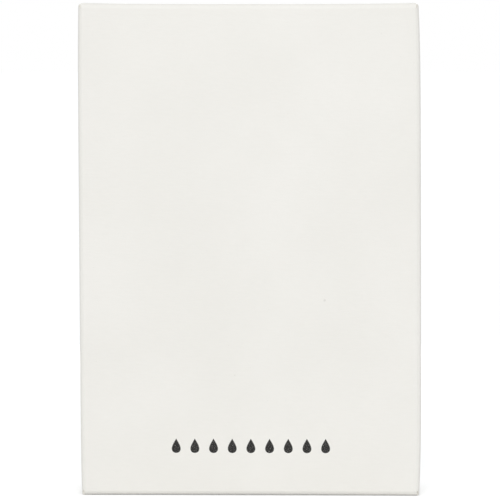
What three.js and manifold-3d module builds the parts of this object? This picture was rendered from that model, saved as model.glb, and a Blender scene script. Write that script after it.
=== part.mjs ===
// A boxed shower cap: a slim white tuck-end carton that holds a folded film cap with its elastic.
// Millimetres, +Z up, front of the carton towards -Y, origin at the middle of the footprint.
// The carton is one creased blank. Its panels and flaps are separate pieces, split at the creases.

import * as THREE from "three";
import { mergeVertices } from "three/addons/utils/BufferGeometryUtils.js";
import Module from "manifold-3d";

const wasm = await Module();
wasm.setup();

// Carton, outside sizes
const WIDTH = 65;
const HEIGHT = 93.5;
const DEPTH = 15;

// Board and creases
const BOARD = 0.4;
const FOLD_RADIUS = 0.9; // outside of every crease
const CREASE_GAP = 0.3; // between the two halves of a crease that turns
const ARC_STEPS = 6;
const WELD = 1e-4; // corners closer than this are one

// Lid at each end, hinged on the front panel
const LID_SIDE_CLEARANCE = 0.5; // lid edge in from the carton's side
const LID_SEAT_GAP = 0.25; // lid over the dust flaps

// Tuck flap at the lid's free edge, pushed in along the back panel
const TUCK_DEPTH = 8.5;
const TUCK_BACK_CLEARANCE = 0.7;
const TUCK_SIDE_CLEARANCE = 1.2; // flap edge in from the inside of the side panel
const TUCK_CORNER_RADIUS = 5;

// Dust flaps under the lid, hinged on the side panels
const DUST_LENGTH = 8; // from the carton's side to the flap's free edge
const DUST_EDGE_CLEARANCE = 0.3; // flap in from the ends of its crease
const DUST_HINGE_SIDE_TAPER = 28; // degrees, on the side where the lid is hinged
const DUST_TUCK_SIDE_TAPER = 17; // degrees, on the side where the tuck flap slides

// Glued seam at the right rear edge
const GLUE_FLAP_WIDTH = 10;
const GLUE_FLAP_TAPER = 3; // how far its ends slope back
const GLUE_FLAP_TUCK_CLEARANCE = 1; // its ends stop short of the tuck flaps
const GLUE_THICKNESS = 0.1;
const GLUE_WIDTH = 6;
const GLUE_EDGE = 1.5; // bare margin between the glue and the flap's crease
const RAW_EDGE_INSET = 0.2; // back panel's cut edge in from the side panel's face

// Half-moon thumb cut in the top of the back panel
const THUMB_WIDTH = 17;
const THUMB_DEPTH = 4.5;
const THUMB_STEPS = 24;

// Folded cap: the film strip goes up and down in runs, and its gathered elastic lies on top
const CAP_SEAT_GAP = 0.3; // to the front panel, to the bottom flaps and between film and elastic
const CAP_SIDE_CLEARANCE = 3.1; // film in from the inside of each side panel
const CAP_BACK_CLEARANCE = 1.9; // film to the tuck flaps
const CAP_HEAD_ROOM = 8.8; // elastic to the top dust flaps
const FILM_RUNS = 5;
const FILM_STRIP = 0.3; // gathered plies of one run, pressed together
const ELASTIC_RUNS = 3;
const ELASTIC_RUN_GAP = 0.6;
const ELASTIC_BAND = 0.7;
const ELASTIC_LOOP_GAP = 0.9; // between the two sides of the flattened loop
const ELASTIC_HEIGHT = 5;
const ELASTIC_INSET = 3; // loop ends in from the ends of the film

// Inside faces that more than one piece is set against
const HALF_WIDTH = WIDTH / 2;
const HALF_DEPTH = DEPTH / 2;
const INNER_RADIUS = FOLD_RADIUS - BOARD;
const BACK_INSIDE = HALF_DEPTH - BOARD;
const TUCK_OUTSIDE = BACK_INSIDE - TUCK_BACK_CLEARANCE;
const GLUE_FLAP_OUTSIDE = BACK_INSIDE - GLUE_THICKNESS;
const DUST_DROP = BOARD + LID_SEAT_GAP;
const FLAP_INSIDE = DUST_DROP + BOARD; // inner face of the dust flaps, in from the carton's end
const CAP_FOOT = FLAP_INSIDE + CAP_SEAT_GAP;
const CAP_FRONT = -HALF_DEPTH + BOARD + CAP_SEAT_GAP;
const CAP_REACH = HALF_WIDTH - BOARD - CAP_SIDE_CLEARANCE;
const ELASTIC_FOOT = HEIGHT - FLAP_INSIDE - CAP_HEAD_ROOM - ELASTIC_HEIGHT;

// A turning crease covers a quarter circle: each side keeps half of it, less half of the gap.
const HALF_FOLD = Math.PI / 4 - Math.asin(CREASE_GAP / 2 / FOLD_RADIUS);

const boardWhite = new THREE.MeshStandardMaterial({ color: 0xedece8, roughness: 0.55, metalness: 0 });
const boardInside = new THREE.MeshStandardMaterial({ color: 0xe2dfd6, roughness: 0.85, metalness: 0 });
const driedGlue = new THREE.MeshStandardMaterial({ color: 0xf0e6c8, roughness: 0.35, metalness: 0 });
const clearFilm = new THREE.MeshStandardMaterial({
  color: 0xeef3f5,
  roughness: 0.25,
  metalness: 0,
  transparent: true,
  opacity: 0.6,
});
const whiteElastic = new THREE.MeshStandardMaterial({ color: 0xf4f4f1, roughness: 0.9, metalness: 0 });

const X = new THREE.Vector3(1, 0, 0);
const Y = new THREE.Vector3(0, 1, 0);
const Z = new THREE.Vector3(0, 0, 1);

// An outline drawn on two of the carton's axes, u and v, and carried between two coordinates on the third.
function extrude(shape, u, v, from, to, steps = ARC_STEPS) {
  const geometry = new THREE.ExtrudeGeometry(shape, {
    depth: to - from,
    bevelEnabled: false,
    curveSegments: steps,
  });
  const w = new THREE.Vector3().crossVectors(u, v);
  const forwards = w.x + w.y + w.z > 0;
  const start = w.clone().multiplyScalar(forwards ? from : -to);
  return geometry.applyMatrix4(new THREE.Matrix4().makeBasis(u, v, w).setPosition(start));
}

function solid(geometry) {
  const bare = geometry.clone();
  bare.deleteAttribute("normal");
  bare.deleteAttribute("uv");
  const merged = mergeVertices(bare, WELD);
  return new wasm.Manifold(
    new wasm.Mesh({
      numProp: 3,
      vertProperties: merged.attributes.position.array,
      triVerts: new Uint32Array(merged.index.array),
    }),
  );
}

function geometryOf(body) {
  const mesh = body.getMesh();
  const geometry = new THREE.BufferGeometry();
  geometry.setAttribute("position", new THREE.BufferAttribute(mesh.vertProperties, 3));
  geometry.setIndex(new THREE.BufferAttribute(mesh.triVerts, 1));
  geometry.computeVertexNormals();
  return geometry;
}

function piece(name, geometry, material) {
  const mesh = new THREE.Mesh(geometry, material);
  mesh.name = name;
  return mesh;
}

function rectangle(x0, y0, x1, y1) {
  const shape = new THREE.Shape();
  shape.moveTo(x0, y0);
  shape.lineTo(x1, y0);
  shape.lineTo(x1, y1);
  shape.lineTo(x0, y1);
  return shape;
}

// An upright board in section, its outer face on u = face. At each end is the first half of a crease that
// bends towards +u, with its centre at the height low or high.
function uprightSection(face, low, high) {
  const centre = face + FOLD_RADIUS;
  const shape = new THREE.Shape();
  shape.absarc(centre, high, FOLD_RADIUS, Math.PI, Math.PI - HALF_FOLD, true);
  shape.absarc(centre, high, INNER_RADIUS, Math.PI - HALF_FOLD, Math.PI, false);
  shape.absarc(centre, low, INNER_RADIUS, Math.PI, Math.PI + HALF_FOLD, false);
  shape.absarc(centre, low, FOLD_RADIUS, Math.PI + HALF_FOLD, Math.PI, true);
  return shape;
}

// A flap in section, flat at v = top from its first crease at u = face to u = far, where a second crease or
// a cut edge ends it.
function flapSection(face, top, far, endsInCrease) {
  const centre = top - FOLD_RADIUS;
  const first = face + FOLD_RADIUS;
  const shape = new THREE.Shape();
  shape.absarc(first, centre, FOLD_RADIUS, Math.PI / 2 + HALF_FOLD, Math.PI / 2, true);
  if (endsInCrease) {
    const last = far - FOLD_RADIUS;
    shape.absarc(last, centre, FOLD_RADIUS, Math.PI / 2, Math.PI / 2 - HALF_FOLD, true);
    shape.absarc(last, centre, INNER_RADIUS, Math.PI / 2 - HALF_FOLD, Math.PI / 2, false);
  } else {
    shape.lineTo(far, top);
    shape.lineTo(far, top - BOARD);
  }
  shape.absarc(first, centre, INNER_RADIUS, Math.PI / 2, Math.PI / 2 + HALF_FOLD, false);
  return shape;
}

// The front panel wraps round both of its side creases, and carries half of each lid's crease.
function frontPanel() {
  const centre = -HALF_DEPTH + FOLD_RADIUS;
  const left = -HALF_WIDTH + FOLD_RADIUS;
  const right = HALF_WIDTH - FOLD_RADIUS;
  const plan = new THREE.Shape();
  plan.absarc(left, centre, FOLD_RADIUS, Math.PI, Math.PI * 1.5, false);
  plan.absarc(right, centre, FOLD_RADIUS, Math.PI * 1.5, Math.PI * 2, false);
  plan.absarc(right, centre, INNER_RADIUS, Math.PI * 2, Math.PI * 1.5, true);
  plan.absarc(left, centre, INNER_RADIUS, Math.PI * 1.5, Math.PI, true);
  const wrap = extrude(plan, X, Y, FOLD_RADIUS, HEIGHT - FOLD_RADIUS);
  const section = uprightSection(-HALF_DEPTH, FOLD_RADIUS, HEIGHT - FOLD_RADIUS);
  const board = extrude(section, Y, Z, left, right);
  return geometryOf(solid(wrap).add(solid(board)));
}

// Side panel in the left-hand place: a flat board with half of a dust flap's crease at top and bottom.
function sidePanel(rear) {
  const foot = DUST_DROP + FOLD_RADIUS;
  return extrude(uprightSection(-HALF_WIDTH, foot, HEIGHT - foot), X, Z, -HALF_DEPTH + FOLD_RADIUS, rear);
}

function leftSidePanel() {
  return sidePanel(HALF_DEPTH - FOLD_RADIUS);
}

// The right side panel turns in at its rear edge to carry the glue flap, and is cut straight beyond its ends.
function rightSidePanel() {
  const rear = GLUE_FLAP_OUTSIDE - FOLD_RADIUS;
  const front = -HALF_DEPTH + FOLD_RADIUS;
  const centre = HALF_WIDTH - FOLD_RADIUS;
  const foot = glueFlapFoot();
  const turn = new THREE.Matrix4().makeRotationZ(Math.PI).setPosition(0, front + GLUE_FLAP_OUTSIDE, 0);
  const panel = sidePanel(GLUE_FLAP_OUTSIDE).applyMatrix4(turn);
  const corner = rectangle(centre, rear, HALF_WIDTH + FOLD_RADIUS, HALF_DEPTH);
  const crease = new THREE.Shape();
  crease.moveTo(HALF_WIDTH - BOARD, front);
  crease.lineTo(HALF_WIDTH, front);
  crease.absarc(centre, rear, FOLD_RADIUS, 0, Math.PI / 2, false);
  crease.absarc(centre, rear, INNER_RADIUS, Math.PI / 2, 0, true);
  const squared = solid(panel).subtract(solid(extrude(corner, X, Y, foot, HEIGHT - foot)));
  return geometryOf(squared.add(solid(extrude(crease, X, Y, foot, HEIGHT - foot))));
}

// Cut edges above and below. The half-moon at the top bares the tuck flap for a thumb.
function backPanel() {
  const centre = HALF_DEPTH - FOLD_RADIUS;
  const left = -HALF_WIDTH + FOLD_RADIUS;
  const right = HALF_WIDTH - RAW_EDGE_INSET;
  const plan = new THREE.Shape();
  plan.moveTo(right, BACK_INSIDE);
  plan.lineTo(right, HALF_DEPTH);
  plan.absarc(left, centre, FOLD_RADIUS, Math.PI / 2, Math.PI, false);
  plan.absarc(left, centre, INNER_RADIUS, Math.PI, Math.PI / 2, true);
  const moon = new THREE.Shape();
  moon.absellipse(0, HEIGHT, THUMB_WIDTH / 2, THUMB_DEPTH, 0, Math.PI * 2, false, 0);
  const cutter = extrude(moon, X, Z, centre, HALF_DEPTH + BOARD, THUMB_STEPS);
  return geometryOf(solid(extrude(plan, X, Y, 0, HEIGHT)).subtract(solid(cutter)));
}

function glueFlapFoot() {
  return TUCK_DEPTH + GLUE_FLAP_TUCK_CLEARANCE;
}

function glueFlap() {
  const crease = HALF_WIDTH - FOLD_RADIUS;
  const edge = crease - GLUE_FLAP_WIDTH;
  const foot = glueFlapFoot();
  const outline = new THREE.Shape();
  outline.moveTo(crease, foot);
  outline.lineTo(crease, HEIGHT - foot);
  outline.lineTo(edge, HEIGHT - foot - GLUE_FLAP_TAPER);
  outline.lineTo(edge, foot + GLUE_FLAP_TAPER);
  return extrude(outline, X, Z, GLUE_FLAP_OUTSIDE - BOARD, GLUE_FLAP_OUTSIDE);
}

function seamGlue() {
  const right = HALF_WIDTH - FOLD_RADIUS - GLUE_EDGE;
  const end = glueFlapFoot() + GLUE_FLAP_TAPER;
  const strip = rectangle(right - GLUE_WIDTH, end, right, HEIGHT - end);
  return extrude(strip, X, Z, GLUE_FLAP_OUTSIDE, BACK_INSIDE);
}

function lid() {
  const reach = HALF_WIDTH - LID_SIDE_CLEARANCE;
  return extrude(flapSection(-HALF_DEPTH, 0, TUCK_OUTSIDE, true), Y, Z, -reach, reach);
}

// The tuck flap hangs from the lid's rear crease: half a crease, then a board with rounded free corners.
function tuckFlap() {
  const reach = HALF_WIDTH - BOARD - TUCK_SIDE_CLEARANCE;
  const centre = TUCK_OUTSIDE - FOLD_RADIUS;
  const section = new THREE.Shape();
  section.moveTo(TUCK_OUTSIDE - BOARD, -TUCK_DEPTH);
  section.lineTo(TUCK_OUTSIDE, -TUCK_DEPTH);
  section.absarc(centre, -FOLD_RADIUS, FOLD_RADIUS, 0, HALF_FOLD, false);
  section.absarc(centre, -FOLD_RADIUS, INNER_RADIUS, HALF_FOLD, 0, true);
  const outline = new THREE.Shape();
  outline.moveTo(reach, 0);
  outline.lineTo(-reach, 0);
  const turn = TUCK_CORNER_RADIUS;
  outline.absarc(-reach + turn, turn - TUCK_DEPTH, turn, Math.PI, Math.PI * 1.5, false);
  outline.absarc(reach - turn, turn - TUCK_DEPTH, turn, Math.PI * 1.5, Math.PI * 2, false);
  const board = solid(extrude(section, Y, Z, -reach, reach));
  const blank = solid(extrude(outline, X, Z, centre - BOARD, TUCK_OUTSIDE + BOARD));
  return geometryOf(board.intersect(blank));
}

// Dust flap in the left-hand place. Both of its edges taper towards the free end, so that the lid and the
// tuck flap pass it as they open.
function dustFlap() {
  const front = -HALF_DEPTH + FOLD_RADIUS + DUST_EDGE_CLEARANCE;
  const rear = TUCK_OUTSIDE - BOARD - DUST_EDGE_CLEARANCE;
  const end = -HALF_WIDTH + DUST_LENGTH;
  const start = -HALF_WIDTH + FOLD_RADIUS;
  const taper = (degrees) => (end - start) * Math.tan(THREE.MathUtils.degToRad(degrees));
  const outline = new THREE.Shape();
  outline.moveTo(-HALF_WIDTH, front);
  outline.lineTo(start, front);
  outline.lineTo(end, front + taper(DUST_HINGE_SIDE_TAPER));
  outline.lineTo(end, rear - taper(DUST_TUCK_SIDE_TAPER));
  outline.lineTo(start, rear);
  outline.lineTo(-HALF_WIDTH, rear);
  const board = extrude(flapSection(-HALF_WIDTH, -DUST_DROP, end, false), X, Z, -HALF_DEPTH, HALF_DEPTH);
  const blank = extrude(outline, X, Y, -DUST_DROP - FOLD_RADIUS, 0);
  return geometryOf(solid(board).intersect(solid(blank)));
}

// One end of the carton, drawn with its outer face at z = 0 and +Z pointing out of the carton.
function endClosure(end, leftName, rightName) {
  const left = piece(end + "_" + leftName + "_dust_flap", dustFlap(), boardInside);
  const right = piece(end + "_" + rightName + "_dust_flap", dustFlap(), boardInside);
  right.scale.x = -1;
  const group = new THREE.Group();
  group.add(piece(end + "_lid", lid(), boardWhite));
  group.add(piece(end + "_tuck_flap", tuckFlap(), boardWhite));
  group.add(left, right);
  return group;
}

// The outline of a strip that runs to and fro along v, each run beside the last in +u, with round ends.
// low and high are where the outermost turns end, and half is half of the strip's thickness.
function serpentine(runs, u0, low, high, pitch, half, turnReach) {
  const path = new THREE.Shape();
  const bend = pitch / 2;
  const top = high - turnReach;
  const bottom = low + turnReach;
  const last = u0 + pitch * (runs - 1);
  path.absarc(u0, bottom, half, Math.PI * 2, Math.PI, true);
  for (let i = 0; i + 1 < runs; i += 1) {
    const middle = u0 + pitch * (i + 0.5);
    if (i % 2 === 0) path.absarc(middle, top, bend + half, Math.PI, 0, true);
    else path.absarc(middle, bottom, bend - half, Math.PI, Math.PI * 2, false);
  }
  if (runs % 2 === 1) path.absarc(last, top, half, Math.PI, 0, true);
  else path.absarc(last, bottom, half, Math.PI * 2, Math.PI, true);
  for (let i = runs - 2; i >= 0; i -= 1) {
    const middle = u0 + pitch * (i + 0.5);
    if (i % 2 === 0) path.absarc(middle, top, bend - half, 0, Math.PI, false);
    else path.absarc(middle, bottom, bend + half, Math.PI * 2, Math.PI, true);
  }
  return path;
}

// The film, folded up and down between the front panel and the tuck flaps, its runs evenly apart.
function capFilm() {
  const back = TUCK_OUTSIDE - BOARD - CAP_BACK_CLEARANCE;
  const half = FILM_STRIP / 2;
  const pitch = (back - CAP_FRONT - FILM_STRIP) / (FILM_RUNS - 1);
  const turnReach = pitch / 2 + half;
  const high = ELASTIC_FOOT - CAP_SEAT_GAP;
  const section = serpentine(FILM_RUNS, CAP_FRONT + half, CAP_FOOT, high, pitch, half, turnReach);
  return extrude(section, Y, Z, -CAP_REACH, CAP_REACH);
}

// The elastic of the hem: one flattened loop, folded to and fro across the top of the film.
function capElastic() {
  const inner = ELASTIC_LOOP_GAP / 2;
  const outer = inner + ELASTIC_BAND;
  const pitch = outer * 2 + ELASTIC_RUN_GAP;
  const turnReach = pitch / 2 + outer;
  const end = CAP_REACH - ELASTIC_INSET;
  const top = ELASTIC_FOOT + ELASTIC_HEIGHT;
  const plan = (half) => serpentine(ELASTIC_RUNS, CAP_FRONT + outer, -end, end, pitch, half, turnReach);
  const block = extrude(plan(outer), Y, X, ELASTIC_FOOT, top);
  const hollow = extrude(plan(inner), Y, X, ELASTIC_FOOT - ELASTIC_HEIGHT, top + ELASTIC_HEIGHT);
  return geometryOf(solid(block).subtract(solid(hollow)));
}

const carton = new THREE.Group();
carton.add(piece("front_panel", frontPanel(), boardWhite));
carton.add(piece("back_panel", backPanel(), boardWhite));
carton.add(piece("left_side_panel", leftSidePanel(), boardWhite));
carton.add(piece("right_side_panel", rightSidePanel(), boardWhite));
carton.add(piece("glue_flap", glueFlap(), boardInside));
carton.add(piece("seam_glue", seamGlue(), driedGlue));

const topEnd = endClosure("top", "left", "right");
topEnd.position.z = HEIGHT;
const bottomEnd = endClosure("bottom", "right", "left");
bottomEnd.rotation.y = Math.PI;

const cap = new THREE.Group();
cap.add(piece("cap_film", capFilm(), clearFilm));
cap.add(piece("cap_elastic", capElastic(), whiteElastic));

const boxedCap = new THREE.Group();
boxedCap.name = "boxed_shower_cap";
boxedCap.add(carton, topEnd, bottomEnd, cap);

export default boxedCap;
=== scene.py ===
"""A boxed shower cap: a white tuck-end carton of creased board, and a folded film cap in it.

Lengths are in millimetres until mesh() puts them into Blender in metres.
+Z is up and the front faces -Y.
"""

import math

import bmesh
import bpy
import numpy as np
from mathutils import Matrix, Vector


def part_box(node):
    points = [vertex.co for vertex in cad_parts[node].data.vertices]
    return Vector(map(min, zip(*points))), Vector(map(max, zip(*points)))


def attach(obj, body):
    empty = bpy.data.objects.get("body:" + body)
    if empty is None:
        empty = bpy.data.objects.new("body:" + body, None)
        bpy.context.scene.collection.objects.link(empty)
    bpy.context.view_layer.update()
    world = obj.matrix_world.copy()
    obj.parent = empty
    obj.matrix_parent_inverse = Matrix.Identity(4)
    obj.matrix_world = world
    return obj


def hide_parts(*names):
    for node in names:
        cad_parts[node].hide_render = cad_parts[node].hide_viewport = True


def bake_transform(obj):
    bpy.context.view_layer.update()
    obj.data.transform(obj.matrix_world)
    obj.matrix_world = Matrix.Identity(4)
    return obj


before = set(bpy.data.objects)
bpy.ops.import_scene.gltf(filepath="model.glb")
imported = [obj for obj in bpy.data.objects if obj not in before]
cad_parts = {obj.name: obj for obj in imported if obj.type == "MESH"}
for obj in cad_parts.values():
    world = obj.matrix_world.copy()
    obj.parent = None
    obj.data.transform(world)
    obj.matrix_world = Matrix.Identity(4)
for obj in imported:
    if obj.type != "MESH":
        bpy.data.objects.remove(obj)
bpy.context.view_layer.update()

MM = 0.001

# Each node's lowest and highest corner, to the micrometre
LOW, HIGH = 0, 1
X, Y, Z = 0, 1, 2
BOX = {node: np.round(np.array(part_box(node)) / MM, 3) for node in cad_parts}

# Carton, outside sizes, and its board
HALF_WIDTH = BOX["front_panel"][HIGH, X]
HALF_DEPTH = BOX["back_panel"][HIGH, Y]
HEIGHT = BOX["back_panel"][HIGH, Z]
BOARD = BOX["glue_flap"][HIGH, Y] - BOX["glue_flap"][LOW, Y]
FOLD = HALF_DEPTH - BOX["left_side_panel"][HIGH, Y]  # reach of a crease along each board
BEND = 0.45  # radius of each small bend in a crease
FIRST_BEND = 25  # degrees
SECOND_BEND = 37
CUT = 0.02  # width of a straight cut between two panels of different height

# Flaps
LID_REACH = BOX["top_lid"][HIGH, X]
TUCK_BACK = BOX["top_tuck_flap"][HIGH, Y]
TUCK_REACH = BOX["top_tuck_flap"][HIGH, X]
TUCK_DEPTH = HEIGHT - BOX["top_tuck_flap"][LOW, Z]
TUCK_SHOULDER = LID_REACH - 0.2  # half width of the tuck flap at its crease
TUCK_NARROWS = 1.0  # the distance past the crease in which it narrows to its reach
TUCK_CORNER = 5.0
DUST_DROP = HEIGHT - BOX["top_left_dust_flap"][HIGH, Z]
DUST_LENGTH = HALF_WIDTH + BOX["top_left_dust_flap"][HIGH, X]
DUST_FRONT, DUST_REAR = BOX["top_left_dust_flap"][:, Y]
DUST_FRONT_TAPER = 28  # degrees
DUST_REAR_TAPER = 17
EAR_SHARE = 0.62  # share of a corner crease that stands up beside a lid as an ear
EAR_CUT = 0.08  # width of the slanted cut beside an ear
TOP_EAR = (0.62, 0.22)  # how far an ear stops short of the carton's top, at its side and at its front
FOOT_EAR = (0.20, 0.06)  # and of its foot

# Glued seam and thumb cut
GLUE_FLAP_BACK = BOX["glue_flap"][HIGH, Y]
GLUE_FLAP_WIDTH = BOX["glue_flap"][HIGH, X] - BOX["glue_flap"][LOW, X]
GLUE_FLAP_FOOT = BOX["glue_flap"][LOW, Z]
GLUE_FLAP_TAPER = 3.0
GLUE_LEFT, GLUE_RIGHT = BOX["seam_glue"][:, X]
GLUE_FRONT, GLUE_BACK = BOX["seam_glue"][:, Y]
GLUE_FOOT = BOX["seam_glue"][LOW, Z]
GLUE_WAVE = 0.6  # how far the strip's ends run in and out
GLUE_RIPPLE = 2.1  # radians of that wave to a millimetre
RAW_EDGE = BOX["back_panel"][HIGH, X]  # where the back panel's cut edge ends
THUMB_HALF = 8.5
THUMB_DEPTH = 4.5

# How the real carton gives: it leans, its ends draw the sides and lids in, front and back puff out
LEAN = 0.20
LEFT_DRAW = 0.09
RIGHT_DRAW = 0.19
DRAW_MIDDLE = 0.7  # shares of the draw that hold at mid height, and that the ends add
DRAW_ENDS = 2.2
TOP_SAG = 0.20
FOOT_SAG = 0.10
FRONT_PUFF = 0.35
BACK_PUFF = 0.15

# Folded film
CAP_FOOT, CAP_TOP = BOX["cap_film"][:, Z]
CAP_FRONT = BOX["cap_film"][LOW, Y]
CAP_DEPTH = BOX["cap_film"][HIGH, Y] - CAP_FRONT
CAP_REACH = BOX["cap_film"][HIGH, X]
FILM_RUNS = 40
TIP_ROUND = 0.26  # length over which a ply bends round the tip of a fold
TIP_SWELL = 0.42  # how much wider a fold is near its tip, in pitches on each side
TIP_FADE = 2.5
TIP_SHORT = 1.1  # how far tips stay inside the stack's ends on average, and each of two waves of that
TIP_STRAY = 0.55
FILM_LUMP = 0.7  # how much thicker or thinner the stack is from place to place
FILM_CRUMPLE = 0.22  # and how much its crumples add
FILM_DRAW = 0.02  # share by which plies draw in at the sides

# Elastic: a flattened loop on edge, folded to and fro on top of the film
ELASTIC_RUN = 46.8
ELASTIC_INSET = 0.35  # from the film's front to the middle of the first run
ELASTIC_SIDE = 0.8  # from the middle of the flattened loop to each side
ELASTIC_TURN = 1.45  # radius of the turns from one run to the next
ELASTIC_HALF = 0.28
ELASTIC_RISE = 1.6
ELASTIC_MIDDLE = 80.9
WANDER = 0.3  # height and number of the loop's waves up and down, and of the ripples on them
WANDERS = 7
RIPPLE = 0.15
RIPPLES = 19

# Gathered hem over the elastic
HEM_PLEATS = 236
HEM_SWAY = 1.8  # radians by which pleats crowd together and open again, and how often round the loop
HEM_SWAYS = 31
HEM_OFF = 0.35  # from the band's middle to the film beside it
HEM_PLEAT = 0.12
HEM_FRILL = 0.35
HEM_OVER = 0.45  # from the band's top to the film over it
HEM_DROP = 4.1
HEM_HALF = 5.0  # half of the hem's width, laid flat

# Print on the front: one row of plain drops
DROPS = 9
DROP_PITCH = 3.55
DROP_TALL = 2.9
DROP_WIDE = 1.75
DROP_MIDDLE = 9.6
DROP_PEAK = 0.7  # widest value of the drop's formula
PRINT_EDGE = 0.08

# How finely boards are divided across their paths
PANEL_ROWS = 41
GLUE_ROWS = 31
DUST_ROWS = 13


# Shapes


def crease():
    """Legs of a quarter turn that reaches FOLD along both boards: three small bends, two flats between.

    The flats' lengths solve: the steps of bends and flats add up to FOLD along the first board, and
    along the second.
    """
    third = 90 - FIRST_BEND - SECOND_BEND
    one = math.radians(FIRST_BEND)
    two = math.radians(FIRST_BEND + SECOND_BEND)
    steps = np.array([[math.cos(one), math.cos(two)], [math.sin(one), math.sin(two)]])
    flats = np.linalg.solve(steps, [FOLD - BEND, FOLD - BEND])
    arcs = [BEND * math.radians(turn) for turn in (FIRST_BEND, SECOND_BEND, third)]
    return [
        (arcs[0], -FIRST_BEND),
        (flats[0], 0),
        (arcs[1], -SECOND_BEND),
        (flats[1], 0),
        (arcs[2], -third),
    ]


def run(legs):
    """Length of a path of legs (length, turn)."""
    return sum(length for length, turn in legs)


def walk(start, heading, legs):
    """A path of legs (length, turn in degrees), as a function of the distance s along it.

    On each leg the heading changes evenly, so a point is the leg's start plus a chord of length
    l sinc(half the turn so far) in the middle heading. Returns the point and the normal to the right
    of the path.
    """
    length, turn = np.array(legs, float).T
    turn = np.radians(turn)
    begin = np.concatenate([[0], np.cumsum(length)[:-1]])
    course = math.radians(heading) + np.concatenate([[0], np.cumsum(turn)[:-1]])

    def chord(l, bend, h):
        reach = l * np.sinc(bend / 2 / np.pi)
        return np.stack([reach * np.cos(h + bend / 2), reach * np.sin(h + bend / 2)], -1)

    steps = np.cumsum(chord(length, turn, course), 0)
    corner = np.array(start) + np.concatenate([[[0, 0]], steps[:-1]])

    def at(s):
        leg = np.clip(np.searchsorted(begin, s, "right") - 1, 0, len(begin) - 1)
        l = s - begin[leg]
        bend = turn[leg] * l / length[leg]
        h = course[leg] + bend
        return corner[leg] + chord(l, bend, course[leg]), np.stack([np.sin(h), -np.cos(h)], -1)

    return at


def merged(*distances):
    """Distances along a path in order, each once."""
    return np.unique(np.round(np.concatenate(distances), 6))


def stations(legs, flat_step, bend_steps=3):
    """Distances at which a path is sampled: flats every flat_step, bends in bend_steps parts."""
    ends = np.concatenate([[0], np.cumsum([length for length, turn in legs])])
    parts = [bend_steps if turn else max(1, round(length / flat_step)) for length, turn in legs]
    return merged(*[np.linspace(a, b, n + 1) for a, b, n in zip(ends[:-1], ends[1:], parts)])


def give(p):
    """The carton's give, added to points p.

    With w = x over half the width and u from -1 at the foot to 1 at the top, the top leans to the left
    by LEAN u, sides draw in by draw w^4 (DRAW_MIDDLE + DRAW_ENDS u^6), ends sag by sag (1 - w^4) u^5,
    and the front and back puff out by (1 - w^2) (1 - u^4) in proportion to how near they are.
    """
    x, y, z = p[..., X], p[..., Y], p[..., Z]
    w = np.clip(x / HALF_WIDTH, -1, 1)
    u = np.clip(2 * z / HEIGHT - 1, -1, 1)
    near = np.clip(y / HALF_DEPTH, -1, 1)
    draw = np.where(x < 0, LEFT_DRAW, -RIGHT_DRAW) * w**4 * (DRAW_MIDDLE + DRAW_ENDS * u**6)
    puff = np.where(near < 0, FRONT_PUFF, BACK_PUFF) * near * (1 - w**2) * (1 - u**4)
    sag = np.where(u < 0, FOOT_SAG, TOP_SAG) * (w**4 - 1) * u**5
    return p + np.stack([draw - LEAN * u, puff, sag], -1)


# Meshes


def mesh(name, points, faces, flat, materials, face_material=None, sharp=30):
    """An object at the origin from points in millimetres, with a UV map, also in millimetres, of the
    sheet laid flat. Edges sharper than so many degrees stay sharp."""
    data = bpy.data.meshes.new(name)
    data.from_pydata((points * MM).tolist(), [], faces.tolist())
    for material in materials:
        data.materials.append(material)
    if face_material is not None:
        data.polygons.foreach_set("material_index", face_material.astype(np.int32))
    outward = bmesh.new()
    outward.from_mesh(data)
    bmesh.ops.recalc_face_normals(outward, faces=outward.faces)
    outward.to_mesh(data)
    outward.free()
    corner = np.zeros(len(data.loops), np.int32)
    data.loops.foreach_get("vertex_index", corner)
    data.uv_layers.new(name="flat").data.foreach_set("uv", flat[corner].astype(np.float32).ravel())
    data.polygons.foreach_set("use_smooth", np.ones(len(data.polygons), bool))
    data.set_sharp_from_angle(angle=math.radians(sharp))
    data.update()
    obj = bpy.data.objects.new(name, data)
    bpy.context.scene.collection.objects.link(obj)
    return obj


def quads(n, m, around=False, closed=False):
    """Corner numbers of a grid of n by m points. A grid that goes around joins its last row to its
    first, and a closed one its last column to its first."""
    i = np.arange(n if around else n - 1)[:, None]
    j = np.arange(m if closed else m - 1)[None]
    k = (i + 1) % n
    l = (j + 1) % m
    return np.stack(np.broadcast_arrays(i * m + j, k * m + j, k * m + l, i * m + l), -1).reshape(-1, 4)


def board(name, at, s, low, high, place, rows, materials, flat_from=0, thick=BOARD):
    """Creased board as a closed shell: its outer face is the path at(s) carried across from low(s) to
    high(s), its inner face lies thick further along the path's normal, and rims join the two.

    Materials are for the outer face, the inner face and the cut rims.
    """
    t = np.linspace(0, 1, rows)
    point, inward = at(s)
    across = low[:, None] + (high - low)[:, None] * t
    n, m = across.shape
    skins = []
    for depth in (0, thick):
        a, b = (point + inward * depth).T
        skins.append(give(place(*np.broadcast_arrays(a[:, None], b[:, None], across))).reshape(-1, 3))
    number = np.arange(n * m).reshape(n, m)
    rim = np.concatenate([number[0], number[1:, -1], number[-1, -2::-1], number[-2:0:-1, 0]])
    after = np.roll(rim, -1)
    rims = np.stack([rim, after, after + n * m, rim + n * m], -1)
    face = quads(n, m)
    faces = np.concatenate([face, face[:, ::-1] + n * m, rims])
    kind = np.repeat([0, 1, 2], [len(face), len(face), len(rims)])
    flat = np.stack(np.broadcast_arrays(s[:, None] - flat_from, across), -1).reshape(-1, 2)
    return mesh(name, np.concatenate(skins), faces, np.concatenate([flat, flat]), materials, kind)


def upright(a, b, c):
    """The path lies in plan and is carried upwards."""
    return np.stack([a, b, c], -1)


def crosswise(up):
    """The path lies in the side view and is carried across the carton."""
    return lambda a, b, c: np.stack([c, a, up(b)], -1)


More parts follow.
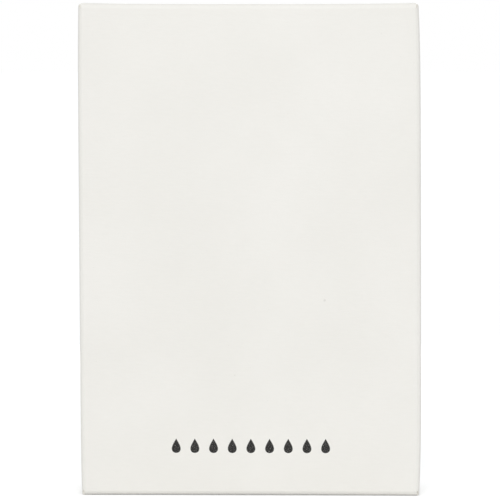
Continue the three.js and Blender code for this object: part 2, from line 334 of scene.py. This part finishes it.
def lengthwise(side, up):
    """The path lies in the front view, on one side, and is carried from front to back."""
    return lambda a, b, c: np.stack([side * a, c, up(b)], -1)


def sleeve(materials):
    """The carton's four panels and its glue flap: one board that goes round from the glue flap's free
    edge by the right side, front and left side to the back's cut edge, with its own foot and top at
    each panel.

    The thumb cut lowers the back's top by THUMB_DEPTH sqrt(1 - (x / THUMB_HALF)^2).
    """
    turn = crease()
    bend = run(turn)
    wide = 2 * (HALF_WIDTH - FOLD)
    right_deep = HALF_DEPTH + GLUE_FLAP_BACK - 2 * FOLD
    left_deep = 2 * (HALF_DEPTH - FOLD)
    back_wide = HALF_WIDTH - FOLD + RAW_EDGE
    legs = [(GLUE_FLAP_WIDTH, 0), *turn, (right_deep, 0), *turn, (wide, 0)]
    legs += [*turn, (left_deep, 0), *turn, (back_wide, 0)]
    at = walk((HALF_WIDTH - FOLD - GLUE_FLAP_WIDTH, GLUE_FLAP_BACK), 0, legs)

    # Distances along the path at which panels end and begin
    right = GLUE_FLAP_WIDTH + bend + right_deep
    front = right + bend
    front_end = front + wide
    left = front_end + bend
    left_end = left + left_deep
    middle = left_end + bend + HALF_WIDTH - FOLD
    ear = right + (1 - EAR_SHARE) * bend - CUT
    far_ear = front_end + EAR_SHARE * bend + CUT
    side_foot = DUST_DROP + FOLD
    ear_side = (FOOT_EAR[0], TOP_EAR[0] - FOOT_EAR[0])
    ear_front = (FOOT_EAR[1], TOP_EAR[1] - FOOT_EAR[1])
    stops = [  # distance along, rise of the foot, and how much more than that the top drops
        (0, GLUE_FLAP_FOOT + GLUE_FLAP_TAPER, 0),
        (GLUE_FLAP_WIDTH, GLUE_FLAP_FOOT, 0),
        (GLUE_FLAP_WIDTH + CUT, side_foot, 0),
        (right, side_foot, 0),
        (right + CUT, *ear_side),
        (ear, *ear_front),
        (ear + EAR_CUT, FOLD, 0),
        (far_ear - EAR_CUT, FOLD, 0),
        (far_ear, *ear_front),
        (left - CUT, *ear_side),
        (left, side_foot, 0),
        (left_end, side_foot, 0),
        (left_end + CUT, 0, 0),
        (run(legs), 0, 0),
    ]
    where, rise, short = np.array(stops).T
    cut = middle + THUMB_HALF * np.sin(np.linspace(-np.pi / 2, np.pi / 2, 33))
    s = merged(stations(legs, flat_step=1.6), where, cut)
    low = np.interp(s, where, rise)
    moon = THUMB_DEPTH * np.sqrt(np.clip(1 - ((s - middle) / THUMB_HALF) ** 2, 0, 1))
    high = HEIGHT - low - np.interp(s, where, short) - moon
    flat_from = front + wide / 2
    return board("carton_sleeve", at, s, low, high, upright, PANEL_ROWS, materials, flat_from)


def glue_strip(material):
    """Dried glue between the glue flap and the back panel: a thin slab whose foot and top run in and
    out by GLUE_WAVE cos(GLUE_RIPPLE s)."""
    wide = GLUE_RIGHT - GLUE_LEFT
    at = walk((GLUE_LEFT, GLUE_BACK), 0, [(wide, 0)])
    s = np.linspace(0, wide, 13)
    end = GLUE_FOOT + GLUE_WAVE * np.cos(GLUE_RIPPLE * s)
    thick = GLUE_BACK - GLUE_FRONT
    high = HEIGHT - end
    return board("seam_glue_strip", at, s, end, high, upright, GLUE_ROWS, [material] * 3, thick=thick)


def lid(name, up, materials):
    """A lid from the front panel's crease to its own rear crease, carried across the carton."""
    legs = [*crease(), (TUCK_BACK + HALF_DEPTH - 2 * FOLD, 0)]
    at = walk((-HALF_DEPTH, HEIGHT - FOLD), 90, legs)
    s = stations(legs, flat_step=1.0)
    reach = np.full_like(s, LID_REACH)
    return board(name, at, s, -reach, reach, crosswise(up), PANEL_ROWS, materials)


def tuck(name, up, materials):
    """A tuck flap from the lid's rear crease down along the back. It narrows evenly below the crease,
    and its free corners are rounded:
    half width = reach - r + sqrt(r^2 - (distance into the corner)^2)."""
    legs = [*crease(), (TUCK_DEPTH - FOLD, 0)]
    at = walk((TUCK_BACK - FOLD, HEIGHT), 0, legs)
    end = run(legs)
    round_off = end - TUCK_CORNER * (1 - np.sin(np.linspace(0, np.pi / 2, 11)))
    s = merged(stations(legs, flat_step=1.0), round_off)
    into = np.clip(s - (end - TUCK_CORNER), 0, TUCK_CORNER)
    bend = run(crease())
    shoulder = np.interp(s, [bend, bend + TUCK_NARROWS], [TUCK_SHOULDER, TUCK_REACH])
    reach = shoulder - TUCK_CORNER + np.sqrt(TUCK_CORNER**2 - into**2)
    return board(name, at, s, -reach, reach, crosswise(up), PANEL_ROWS, materials)


def dust(name, side, up, materials):
    """A dust flap from the side panel's crease, its edges tapering straight to the free end."""
    legs = [*crease(), (DUST_LENGTH - FOLD, 0)]
    at = walk((-HALF_WIDTH, HEIGHT - DUST_DROP - FOLD), 90, legs)
    s = stations(legs, flat_step=0.8)
    out = np.clip(s - run(crease()), 0, None)
    front = DUST_FRONT + out * math.tan(math.radians(DUST_FRONT_TAPER))
    rear = DUST_REAR - out * math.tan(math.radians(DUST_REAR_TAPER))
    return board(name, at, s, front, rear, lengthwise(side, up), DUST_ROWS, materials)


def film(material):
    """The cap's film, folded up and down. Run r goes from tip r, at the foot if r is even, to tip r + 1.

    At a distance d from a tip, a ply stands off the tip's middle by 0.5 + TIP_SWELL exp(-d / TIP_FADE)
    pitches, times a quarter circle of radius TIP_ROUND next to the tip, so folds end in round loops
    that lie close together. Each tip has its own height, two waves across the cap. Lumps press the
    whole stack thinner or thicker by slow waves, and crumples by quick ones, and no ply crosses another.
    """
    tall = CAP_TOP - CAP_FOOT
    bend = TIP_ROUND * (1 - np.cos(np.linspace(0, np.pi / 2, 6)))
    d = np.concatenate([bend, [0.6, 1.3, 2.6, 5, 10, 20]])
    along = np.concatenate([d, tall - d[:0:-1]])
    r = np.append(np.repeat(np.arange(FILM_RUNS), len(along)), FILM_RUNS - 1)[:, None]
    a = np.append(np.tile(along, FILM_RUNS), tall)[:, None]
    x = np.linspace(-1, 1, 49)[None]

    def stand(d):
        quarter = np.sqrt(1 - (1 - np.clip(d / TIP_ROUND, 0, 1)) ** 2)
        return (0.5 + TIP_SWELL * np.exp(-d / TIP_FADE)) * quarter

    def tip(i):
        short = TIP_SHORT + TIP_STRAY * (np.sin(2.4 * i + 3 * x) + np.cos(0.9 * i - 5 * x))
        return np.where(i % 2, CAP_TOP - short, CAP_FOOT + short)

    z = tip(r) * (1 - a / tall) + tip(r + 1) * a / tall
    share = (r + 0.5 + stand(a) - stand(tall - a)) / FILM_RUNS
    lump = 0.5 * np.sin(5 * x + z / 11) + 0.5 * np.cos(3 * x - z / 17 + 1)
    crumple = np.sin(31 * x + z / 1.9) * np.sin(z / 5.3 + 7 * x)
    y = CAP_FRONT + share * (CAP_DEPTH + FILM_LUMP * lump + FILM_CRUMPLE * crumple)
    wide = CAP_REACH * (1 - FILM_DRAW * (0.5 + 0.5 * np.sin(1.7 * (r + a / tall) + z / 23)))
    points = np.stack(np.broadcast_arrays(x * wide, y, z), -1)
    face = quads(*points.shape[:2])
    flat = np.stack(np.broadcast_arrays(x * CAP_REACH, r * tall + a), -1).reshape(-1, 2)
    return mesh("cap_film_sheet", points.reshape(-1, 3), face, flat, [material], sharp=180)


def loop(count):
    """The elastic's closed path in plan, at count places: one side of the flattened loop to and fro in
    three runs, round its end, and the other side back.

    Returns the share of the way round, the distance, the point and the normal.
    """
    straight = (ELASTIC_RUN, 0)
    wide = (math.pi * (ELASTIC_TURN + ELASTIC_SIDE), 180)
    tight = (math.pi * (ELASTIC_TURN - ELASTIC_SIDE), -180)
    end = (math.pi * ELASTIC_SIDE, 180)
    legs = [straight, wide, straight, tight, straight, end] * 2
    share = np.linspace(0, 1, count + 1)[:-1]
    s = run(legs) * share
    return share, s, *walk((-ELASTIC_RUN / 2, CAP_FRONT + ELASTIC_INSET), 0, legs)(s)


def waves(share, number):
    """A sine that goes round the loop so many times."""
    return np.sin(2 * np.pi * number * share)


def elastic(material):
    """The elastic band: a strip of section |n / half|^4 + |h / rise|^4 = 1, on edge round the loop."""
    share, s, point, side = loop(720)
    angle = np.linspace(0, 2 * np.pi, 21)[:-1]
    n = ELASTIC_HALF * np.sign(np.cos(angle)) * np.sqrt(np.abs(np.cos(angle)))
    h = ELASTIC_RISE * np.sign(np.sin(angle)) * np.sqrt(np.abs(np.sin(angle)))
    wander = WANDER * waves(share, WANDERS) + RIPPLE * waves(share, RIPPLES)
    plan = point[:, None] + side[:, None] * n[None, :, None]
    z = ELASTIC_MIDDLE + wander[:, None] + h[None]
    points = np.concatenate([plan, z[..., None]], -1)
    face = quads(*z.shape, around=True, closed=True)
    flat = np.stack(np.broadcast_arrays(s[:, None], h[None] - ELASTIC_RISE), -1).reshape(-1, 2)
    return mesh("cap_elastic_band", points.reshape(-1, 3), face, flat, [material], sharp=60)


def hem(material):
    """The gathered hem: film laid over the band as a narrow arch and pleated along it.

    With w from -1 to 1 across the hem, the arch stands off the band's middle by sqrt(3 |w|), at most 1,
    times HEM_OFF and a pleat that grows towards the free edges, and drops by HEM_DROP |w|^1.6.
    """
    share, s, point, side = loop(2160)
    w = np.linspace(-1, 1, 13)[None]
    phase = 2 * np.pi * HEM_PLEATS * share + HEM_SWAY * waves(share, HEM_SWAYS)
    pleat = 1 + np.sin(phase)[:, None] * (0.5 + 0.5 * np.abs(w))
    arch = np.sign(w) * np.sqrt(np.clip(3 * np.abs(w), 0, 1))
    n = arch * (HEM_OFF + HEM_PLEAT * pleat)
    frill = HEM_FRILL * np.sin(phase / 2 + 1)[:, None] * (1 - w**2)
    top = ELASTIC_MIDDLE + ELASTIC_RISE + HEM_OVER + WANDER * waves(share, WANDERS)
    z = top[:, None] + frill - HEM_DROP * np.abs(w) ** 1.6
    plan = point[:, None] + side[:, None] * n[..., None]
    points = np.concatenate([plan, z[..., None]], -1)
    face = quads(*z.shape, around=True)
    flat = np.stack(np.broadcast_arrays(s[:, None], HEM_HALF * w), -1).reshape(-1, 2)
    return mesh("cap_hem_ruffle", points.reshape(-1, 3), face, flat, [material], sharp=180)


# Finishes


class Wire:
    """A shader socket on which arithmetic adds Math nodes."""

    def __init__(self, finish, socket):
        self.finish = finish
        self.socket = socket

    def maths(self, operation, *others):
        sockets = dict(enumerate((self, *others)))
        return self.finish.node("ShaderNodeMath", {"operation": operation}, sockets)

    def __add__(self, other):
        return self.maths("ADD", other)

    __radd__ = __add__

    def __sub__(self, other):
        return self.maths("SUBTRACT", other)

    def __rsub__(self, other):
        return self.finish.node("ShaderNodeMath", {"operation": "SUBTRACT"}, {0: other, 1: self})

    def __mul__(self, other):
        return self.maths("MULTIPLY", other)

    __rmul__ = __mul__

    def __truediv__(self, other):
        return self.maths("DIVIDE", other)

    def __pow__(self, other):
        return self.maths("POWER", other)

    def size(self):
        return self.maths("ABSOLUTE")

    def step(self, low, high):
        """0 below low, 1 above high and smooth between."""
        settings = {"interpolation_type": "SMOOTHSTEP"}
        sockets = {"Value": self, 1: low, 2: high, 3: 0, 4: 1}
        return self.finish.node("ShaderNodeMapRange", settings, sockets)


class Finish:
    """A material, or the world, whose nodes are added one at a time."""

    def __init__(self, name, owner=None):
        self.owner = owner or bpy.data.materials.new(name)
        self.owner.use_nodes = True
        self.tree = self.owner.node_tree
        self.tree.nodes.clear()

    def node(self, kind, settings=None, sockets=None, out=0):
        """A node of a kind: first its settings, then its sockets' values or links. Gives output out."""
        made = self.tree.nodes.new(kind)
        for key, value in (settings or {}).items():
            setattr(made, key, value)
        named = {socket.identifier: socket for socket in made.inputs}
        for key, value in (sockets or {}).items():
            socket = made.inputs[key] if isinstance(key, int) else named.get(key) or made.inputs[key]
            if isinstance(value, Wire):
                self.tree.links.new(value.socket, socket)
            else:
                socket.default_value = value
        return Wire(self, made.outputs[out]) if made.outputs else None

    def flat(self):
        """The piece's own sheet coordinates, in millimetres."""
        return self.node("ShaderNodeUVMap", {"uv_map": "flat"})

    def part(self, place, axis):
        """One coordinate of a place."""
        return self.node("ShaderNodeSeparateXYZ", None, {"Vector": place}, out=axis)

    def stretch(self, place, x, y):
        return self.node("ShaderNodeVectorMath", {"operation": "MULTIPLY"}, {0: place, 1: (x, y, 1)})

    def noise(self, place, scale, detail=2.0, rough=0.5):
        sockets = {"Vector": place, "Scale": scale, "Detail": detail, "Roughness": rough}
        return self.node("ShaderNodeTexNoise", {"noise_dimensions": "2D"}, sockets)

    def blend(self, share, a, b):
        settings = {"data_type": "RGBA"}
        sockets = {"Factor_Float": share, "A_Color": a, "B_Color": b}
        return self.node("ShaderNodeMix", settings, sockets, out=2)

    def bump(self, height, distance, strength):
        """Relief of a height in metres."""
        sockets = {"Height": height, "Distance": distance, "Strength": strength}
        return self.node("ShaderNodeBump", None, sockets)

    def skin(self, **sockets):
        """The surface shader, with its sockets' names written with _ for a space."""
        named = {key.replace("_", " "): value for key, value in sockets.items()}
        shader = self.node("ShaderNodeBsdfPrincipled", None, named)
        self.node("ShaderNodeOutputMaterial", None, {"Surface": shader})
        return self.owner


def ink(r, g, b):
    """A colour written as it should look, from 0 to 255, as linear values."""
    c = np.array([r, g, b]) / 255
    linear = np.where(c <= 0.04045, c / 12.92, ((c + 0.055) / 1.055) ** 2.4)
    return (*linear.tolist(), 1.0)


def specks(finish, place, scale, radius, share):
    """Small dots, one in some of the cells of a scattered grid. Each cell's red picks whether it has a
    dot, and its green sets the dot's radius, from 0.4 to 1.4 times the radius given."""
    settings = {"voronoi_dimensions": "2D"}
    sockets = {"Vector": place, "Scale": scale}
    distance = finish.node("ShaderNodeTexVoronoi", settings, sockets)
    cell = finish.node("ShaderNodeTexVoronoi", settings, sockets, out=1)
    pick = finish.node("ShaderNodeSeparateColor", None, {"Color": cell})
    size = finish.node("ShaderNodeSeparateColor", None, {"Color": cell}, out=1)
    dot = 1 - (distance / (size * radius * scale + radius * scale * 0.4)).step(0.6, 1.0)
    return dot * (1 - pick.step(share, share + 0.01))


def drop_row(finish, place):
    """A row of drops: with t from -1 at a drop's foot to 1 at its tip and a = acos t, its half width
    goes as sin a times sin(a / 2)^1.5."""
    x = finish.part(place, X)
    y = finish.part(place, Y)
    row = DROPS * DROP_PITCH / 2
    within = 1 - x.size().step(row - 0.01, row)
    local = ((x / DROP_PITCH + 0.5 * (DROPS % 2)).maths("FRACT") - 0.5) * DROP_PITCH
    t = ((y - DROP_MIDDLE) / (DROP_TALL / 2)).maths("MAXIMUM", -1.0).maths("MINIMUM", 1.0)
    angle = t.maths("ARCCOSINE")
    reach = angle.maths("SINE") * (angle * 0.5).maths("SINE") ** 1.5 * (DROP_WIDE / 2 / DROP_PEAK)
    return (reach - local.size()).step(0.0, PRINT_EDGE) * within


def coated_board(name, printed=False):
    """White coated board: faint cloudiness, fine fibre, a few specks, and print if it has any."""
    f = Finish(name)
    place = f.flat()
    cloud = f.noise(place, scale=0.045, detail=3.0)
    grain = f.noise(f.stretch(place, 0.35, 1.6), scale=1.4, detail=4.0, rough=0.6)
    tooth = f.noise(place, scale=7.0)
    large = specks(f, place, scale=0.05, radius=0.22, share=0.35)
    small = specks(f, f.stretch(place, 1.3, 1.3), scale=0.21, radius=0.09, share=0.25)
    tone = (cloud - 0.5) * 0.5 + (grain - 0.5) * 0.22 + 0.5
    colour = f.blend(tone.step(0.1, 0.9), ink(236, 234, 228), ink(243, 241, 236))
    colour = f.blend(large * 0.16 + small * 0.10, colour, ink(120, 112, 98))
    rough = 0.66 + (grain - 0.5) * 0.14 + (tooth - 0.5) * 0.10
    if printed:
        mark = drop_row(f, place) * (1 - (tooth - 0.62).step(0.0, 0.12) * 0.35)
        colour = f.blend(mark, colour, ink(34, 33, 32))
        rough = rough + mark * 0.08
    relief = f.bump(grain * 0.7 + tooth * 0.3, distance=0.000035, strength=0.55)
    return f.skin(Base_Color=colour, Roughness=rough, Specular_IOR_Level=0.35, Normal=relief)


def bare_board(name, dark, light):
    """Uncoated board: a cloudy sheet with a fine tooth, short fibres lying both ways, and scattered
    darker shives."""
    f = Finish(name)
    place = f.flat()
    cloud = f.noise(place, scale=0.10, detail=4.0, rough=0.6)
    tooth = f.noise(place, scale=2.6, detail=5.0, rough=0.65)
    along = specks(f, f.stretch(place, 0.30, 2.4), scale=1.1, radius=0.30, share=0.45)
    across = specks(f, f.stretch(place, 2.1, 0.26), scale=1.0, radius=0.30, share=0.35)
    shive = specks(f, f.stretch(place, 1.0, 2.6), scale=0.16, radius=0.16, share=0.30)
    tone = (cloud - 0.5) * 0.8 + (tooth - 0.5) * 0.9 + 0.5 + (along - across) * 0.05
    colour = f.blend(tone.step(0.1, 0.9), dark, light)
    colour = f.blend(shive * 0.35, colour, ink(150, 136, 112))
    relief = f.bump(tooth * 0.7 + (along + across) * 0.08, distance=0.00005, strength=0.7)
    return f.skin(Base_Color=colour, Roughness=0.84 + (tooth - 0.5) * 0.2, Normal=relief)


def dried_glue():
    """Amber glue with small bubbles."""
    f = Finish("dried_glue")
    place = f.flat()
    streak = f.noise(f.stretch(place, 1.0, 0.2), scale=0.9, detail=3.0)
    bubble = specks(f, place, scale=0.9, radius=0.22, share=0.5)
    colour = f.blend(streak.step(0.3, 0.7), ink(226, 208, 160), ink(242, 232, 202))
    relief = f.bump(streak * 0.5 - bubble * 0.5, distance=0.00005, strength=0.8)
    return f.skin(Base_Color=colour, Roughness=0.30 + streak * 0.15, Normal=relief)


def milky_film(name, cover):
    """Thin milky film: fine stretch lines, soft dents and a sheen that breaks up. Cover is how much of
    what lies behind it is hidden, give or take a tenth at the dents, and never more than all."""
    f = Finish(name)
    place = f.flat()
    dent = f.noise(place, scale=0.22, detail=4.0, rough=0.6)
    line = f.noise(f.stretch(place, 2.4, 0.12), scale=0.9, detail=3.0)
    colour = f.blend(dent.step(0.3, 0.7), ink(247, 247, 245), ink(254, 254, 253))
    return f.skin(
        Base_Color=colour,
        Roughness=0.16 + (line - 0.5) * 0.16 + dent * 0.12,
        IOR=1.5,
        Alpha=(cover + (dent - 0.5) * 0.2).maths("MINIMUM", 1.0),
        Normal=f.bump(dent * 0.8 + line * 0.2, distance=0.0004, strength=0.7),
    )


def knit_elastic():
    """White knitted elastic: ribs along the band and the slanted stitches between them. Its colour is
    darker where the knit lies low, which is painted shade in the hollows between ribs and stitches.
    """
    rib_pitch = 0.55
    stitch_pitch = 0.42
    slant = 2.2
    f = Finish("knit_elastic")
    place = f.flat()
    rib = (f.part(place, Y) * (2 * math.pi / rib_pitch)).maths("SINE") * 0.5 + 0.5
    turns = f.part(place, X) * (2 * math.pi / stitch_pitch) + rib * slant
    stitch = turns.maths("SINE") * 0.5 + 0.5
    fuzz = f.noise(place, scale=5.0, detail=3.0)
    relief_and_shade = rib * 0.5 + stitch * 0.35 + fuzz * 0.3
    # painted shade: the height that feeds the bump also darkens the colour towards the dark ink in the
    # knit's hollows
    colour = f.blend(relief_and_shade.step(0.2, 0.9), ink(205, 204, 199), ink(246, 246, 243))
    relief = f.bump(relief_and_shade, distance=0.00012, strength=0.9)
    return f.skin(Base_Color=colour, Roughness=0.78 + fuzz * 0.15, Normal=relief)


# The carton and the cap, with the sleeve, the glue and the cap's pieces each on the body that carries it

printed = coated_board("printed_board", printed=True)
coated = coated_board("coated_board")
inside = bare_board("uncoated_board", ink(222, 218, 207), ink(238, 235, 226))
edge = bare_board("cut_board_edge", ink(229, 226, 218), ink(244, 242, 236))
plain = [coated, inside, edge]
stacked = milky_film("folded_film", 1.2)
gathered = milky_film("gathered_film", 1.0)

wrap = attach(sleeve([printed, inside, edge]), "carton")
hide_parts("front_panel", "back_panel", "left_side_panel", "right_side_panel", "glue_flap")

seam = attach(glue_strip(dried_glue()), "carton")
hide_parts("seam_glue")

ENDS = {"top": lambda z: z, "bottom": lambda z: HEIGHT - z}
for end, up in ENDS.items():
    top = lid(f"{end}_lid_board", up, plain)
    start = Vector((0, -HALF_DEPTH, up(HEIGHT - FOLD))) * MM
    stop = Vector((0, FOLD - HALF_DEPTH, up(HEIGHT))) * MM
    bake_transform(top)
    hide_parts(f"{end}_lid")

    flap = tuck(f"{end}_tuck_board", up, plain)
    start = Vector((0, TUCK_BACK - FOLD, up(HEIGHT))) * MM
    stop = Vector((0, TUCK_BACK, up(HEIGHT - FOLD))) * MM
    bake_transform(flap)
    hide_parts(f"{end}_tuck_flap")

    for hand, side in (("left", 1), ("right", -1)):
        wing = dust(f"{end}_{hand}_dust_board", side, up, plain)
        start = Vector((-side * HALF_WIDTH, 0, up(HEIGHT - DUST_DROP - FOLD))) * MM
        stop = Vector((-side * (HALF_WIDTH - FOLD), 0, up(HEIGHT - DUST_DROP))) * MM
        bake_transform(wing)
        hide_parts(f"{end}_{hand}_dust_flap")

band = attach(elastic(knit_elastic()), "cap")
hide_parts("cap_elastic")
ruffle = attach(hem(gathered), "cap")
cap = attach(film(stacked), "cap")
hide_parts("cap_film")


# Floor, light and camera

WHITE = (1, 1, 1, 1)
COOL = (0.983, 1.0, 1.017, 1)  # faint tints of the room's light and of the key lamp's
WARM = (1.0, 0.99, 0.975)
ROOM_LIGHT = 0.63  # the room's white as it falls on the carton
FLOOR_GREY = (0.80, 0.80, 0.80, 1)
FLOOR_LIFT = 0.355  # what is added to the floor for the eye
FLOOR_HALF = 4.0  # metres


def white_to_eye(finish):
    """1 for what the camera sees directly, in a gloss or through a clear piece."""
    eye = finish.node("ShaderNodeLightPath", out=0)
    gloss = finish.node("ShaderNodeLightPath", out=3)
    through = finish.node("ShaderNodeLightPath", out=6)
    return (eye + gloss + through).maths("MINIMUM", 1.0)


def room():
    """White all round to the eye, which lights the carton less and faintly cool."""
    sky = bpy.data.worlds.new("studio")
    bpy.context.scene.world = sky
    f = Finish("studio", sky)
    seen = white_to_eye(f)
    colour = f.blend(seen, COOL, WHITE)
    strength = seen * (1 - ROOM_LIGHT) + ROOM_LIGHT
    glow = f.node("ShaderNodeBackground", None, {"Color": colour, "Strength": strength})
    f.node("ShaderNodeOutputWorld", None, {"Surface": glow})


def floor():
    """A pale matte floor, lifted to white for the eye, that keeps the carton's shadow."""
    half = FLOOR_HALF
    f = Finish("pale_floor")
    matte = f.node("ShaderNodeBsdfDiffuse", None, {"Color": FLOOR_GREY})
    glow = {"Color": WHITE, "Strength": white_to_eye(f) * FLOOR_LIFT}
    lift = f.node("ShaderNodeEmission", None, glow)
    both = f.node("ShaderNodeAddShader", None, {0: matte, 1: lift})
    f.node("ShaderNodeOutputMaterial", None, {"Surface": both})
    data = bpy.data.meshes.new("floor")
    corners = [(-half, -half, 0), (half, -half, 0), (half, half, 0), (-half, half, 0)]
    data.from_pydata(corners, [], [(0, 1, 2, 3)])
    data.materials.append(f.owner)
    obj = bpy.data.objects.new("floor", data)
    bpy.context.scene.collection.objects.link(obj)


def lamp(name, kind, energy, place, **settings):
    """A lamp at a place, in metres, aimed at the carton's middle."""
    light = bpy.data.lights.new(name, kind)
    light.energy = energy
    for key, value in settings.items():
        setattr(light, key, value)
    obj = bpy.data.objects.new(name, light)
    obj.location = place
    aim = Vector((0, 0, HEIGHT / 2 * MM)) - obj.location
    obj.rotation_euler = aim.to_track_quat("-Z", "Y").to_euler()
    bpy.context.scene.collection.objects.link(obj)


def lamps():
    """Soft light from the front and above and less from the rear, with a small lamp for the front's
    upper half and one for the back."""
    lamp("key", "SUN", 1.0, (-0.03, -0.85, 0.58), angle=math.radians(50), color=WARM)
    lamp("rear", "SUN", 0.3, (0.3, 0.9, 0.5), angle=math.radians(60))
    lamp("lift", "AREA", 0.05, (0, -0.22, 0.20), size=0.1)
    lamp("back_fill", "AREA", 0.13, (0, 0.3, HEIGHT / 2 * MM), size=0.06)


def camera():
    """The camera: in front, a little above and to the right, with a slight roll."""
    distance = 0.70
    rise = math.radians(3.9)
    swing = math.radians(1.3)
    roll = math.radians(-0.02)
    seen = 0.09465  # width of the picture at the carton's front
    above = 0.10  # how far above the front's middle the picture's middle lies, in millimetres
    aim = Vector((0, -HALF_DEPTH, HEIGHT / 2 + above)) * MM
    lens = bpy.data.cameras.new("camera")
    lens.sensor_width = 36
    lens.lens = lens.sensor_width * distance / seen
    obj = bpy.data.objects.new("camera", lens)
    back = Vector((math.sin(swing) * math.cos(rise), -math.cos(swing) * math.cos(rise), math.sin(rise)))
    obj.location = aim + back * distance
    turn = (-back).to_track_quat("-Z", "Y").to_matrix() @ Matrix.Rotation(roll, 3, "Z")
    obj.rotation_euler = turn.to_euler()
    bpy.context.scene.collection.objects.link(obj)
    bpy.context.scene.camera = obj


bpy.context.scene.view_settings.view_transform = "Standard"
room()
floor()
lamps()
camera()
